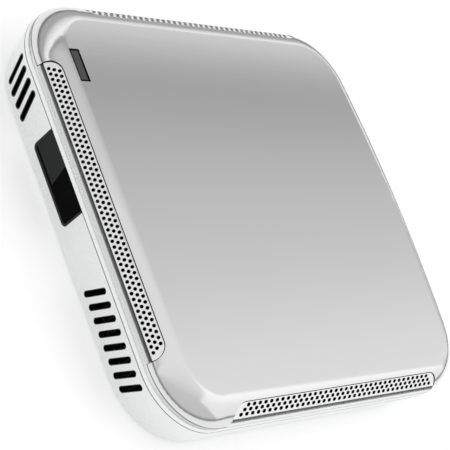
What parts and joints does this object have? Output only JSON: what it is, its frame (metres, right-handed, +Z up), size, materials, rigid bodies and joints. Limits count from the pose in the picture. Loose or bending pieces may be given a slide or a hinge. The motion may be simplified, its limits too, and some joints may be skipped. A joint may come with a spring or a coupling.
{
  "type": "pocket projector with disc drive",
  "caption": "Flat rounded box that throws a picture from a front window and plays a disc fed into a slot in its back",
  "frame": {"origin": "middle of the plan, on the plane that the feet stand on", "axes": "+Z up, -Y the front with the lens window, +Y the back with the disc slot"},
  "size_m": [0.145, 0.1615, 0.0264],
  "materials": {
    "silver_paint": "satin silver paint",
    "brushed_aluminium": "fine brushed, satin",
    "perforated_metal": "satin silver paint",
    "smoked_window": "polished, dark tint",
    "black_rubber": "matte",
    "dark_plastic": "fine texture",
    "key_plastic": "satin",
    "steel": "zinc plated",
    "brass": "turned",
    "felt": "felt",
    "circuit_board": "solder mask",
    "battery_wrap": "shrink wrap",
    "optical_glass": "polished",
    "die_cast": "as cast",
    "heat_sink": "extruded",
    "copper": "bare copper",
    "nylon": "moulded"
  },
  "bodies": {
    "casing_and_fixed_parts": {"lower_housing": "silver_paint", "bezel_ring": "silver_paint", "top_cover": "brushed_aluminium", "front_grille": "perforated_metal", "left_grille": "perforated_metal", "right_grille": "perforated_metal", "projection_window": "smoked_window", "window_gasket": "black_rubber", "feet": "black_rubber", "housing_screws": "steel", "tripod_insert": "brass", "slot_lips": "felt", "key_switch_board": "circuit_board", "side_switch_board": "circuit_board", "main_board": "circuit_board", "board_screws": "steel", "board_chips": "dark_plastic", "power_jack": "dark_plastic", "hdmi_socket": "steel", "usb_socket": "steel", "audio_jack": "dark_plastic", "battery_pack": "battery_wrap", "light_engine_case": "die_cast", "engine_lid": "steel", "relay_prism": "optical_glass", "condenser_lenses": "optical_glass", "dichroic_mirrors": "optical_glass", "mirror_chip_board": "circuit_board", "led_modules": "circuit_board", "lens_sleeve": "dark_plastic", "rear_lens": "optical_glass", "focus_motor": "steel", "left_heat_sink": "heat_sink", "right_heat_sink": "heat_sink", "led_spreader": "copper", "heat_pipe": "copper", "blower_case": "dark_plastic", "drive_chassis": "steel", "chassis_grommets": "black_rubber", "drive_screws": "steel", "disc_guide_plate": "steel", "spindle_stator": "steel", "guide_rods": "steel", "sled_motor": "steel", "speakers": "dark_plastic"},
    "rocker": {"rocker_key": "key_plastic"},
    "power_key": {"power_button": "silver_paint"},
    "eject_key": {"eject_button": "silver_paint"},
    "fan_wheel": {"blower_rotor": "dark_plastic"},
    "disc_platter": {"turntable": "dark_plastic"},
    "pickup": {"pickup_sled": "die_cast"},
    "objective": {"pickup_lens": "optical_glass"},
    "sled_screw": {"lead_screw": "steel"},
    "loader_cradle": {"roller_cradle": "steel", "load_motor": "steel"},
    "loader_roller": {"load_roller": "black_rubber"},
    "focus_gear": {"focus_ring": "nylon"},
    "focus_drive": {"focus_pinion": "nylon"},
    "focus_cell": {"lens_cell": "dark_plastic", "front_lens": "optical_glass"}
  },
  "joints": [
    {"name": "rocker_tilt", "type": "hinge", "parent": "casing_and_fixed_parts", "child": "rocker", "pos_m": [-0.04685, -0.07005, 0.0241], "axis": [0, 1, 0], "range_deg": [-2.5, 2.5], "stiffness_Nm_per_rad": 0.01},
    {"name": "power_press", "type": "slide", "parent": "casing_and_fixed_parts", "child": "power_key", "axis": [1, 0, 0], "range_m": [0, 0.0005], "stiffness_N_per_m": 400, "springref_m": -0.0002},
    {"name": "eject_press", "type": "slide", "parent": "casing_and_fixed_parts", "child": "eject_key", "axis": [1, 0, 0], "range_m": [0, 0.0005], "stiffness_N_per_m": 400, "springref_m": -0.0002},
    {"name": "fan_spin", "type": "hinge", "parent": "casing_and_fixed_parts", "child": "fan_wheel", "pos_m": [0.0405, -0.0513, 0.005], "axis": [0, 0, 1], "continuous": true},
    {"name": "disc_spin", "type": "hinge", "parent": "casing_and_fixed_parts", "child": "disc_platter", "pos_m": [0, 0.014, 0.012], "axis": [0, 0, 1], "continuous": true},
    {"name": "pickup_slide", "type": "slide", "parent": "casing_and_fixed_parts", "child": "pickup", "axis": [-1, 0, 0], "range_m": [0, 0.034]},
    {"name": "objective_focus", "type": "slide", "parent": "pickup", "child": "objective", "axis": [0, 0, 1], "range_m": [-0.00025, 0.0004], "stiffness_N_per_m": 20},
    {"name": "screw_turn", "type": "hinge", "parent": "casing_and_fixed_parts", "child": "sled_screw", "pos_m": [-0.04, -0.0075, 0.0062], "axis": [-1, 0, 0], "range_deg": [-1, 4082]},
    {"name": "loader_lift", "type": "hinge", "parent": "casing_and_fixed_parts", "child": "loader_cradle", "pos_m": [0, 0.0445, 0.0088], "axis": [1, 0, 0], "range_deg": [0, 6]},
    {"name": "loader_spin", "type": "hinge", "parent": "loader_cradle", "child": "loader_roller", "pos_m": [0, 0.0525, 0.0091], "axis": [1, 0, 0], "continuous": true},
    {"name": "focus_turn", "type": "hinge", "parent": "casing_and_fixed_parts", "child": "focus_gear", "pos_m": [-0.01545, -0.07, 0.0104], "axis": [0, 1, 0], "range_deg": [-0.5, 90.5]},
    {"name": "focus_drive_turn", "type": "hinge", "parent": "casing_and_fixed_parts", "child": "focus_drive", "pos_m": [-0.00616, -0.07, 0.01238], "axis": [0, 1, 0], "range_deg": [-195.5, 1]},
    {"name": "focus_cell_slide", "type": "slide", "parent": "casing_and_fixed_parts", "child": "focus_cell", "axis": [0, 1, 0], "range_m": [0, 0.002]}
  ],
  "couplings": [
    {"joint": "screw_turn", "follows": "pickup_slide", "rad_per_m": 2094.4},
    {"joint": "focus_drive_turn", "follows": "focus_cell_slide", "rad_per_m": -1701.7},
    {"joint": "focus_turn", "follows": "focus_cell_slide", "rad_per_m": 785.4}
  ]
}
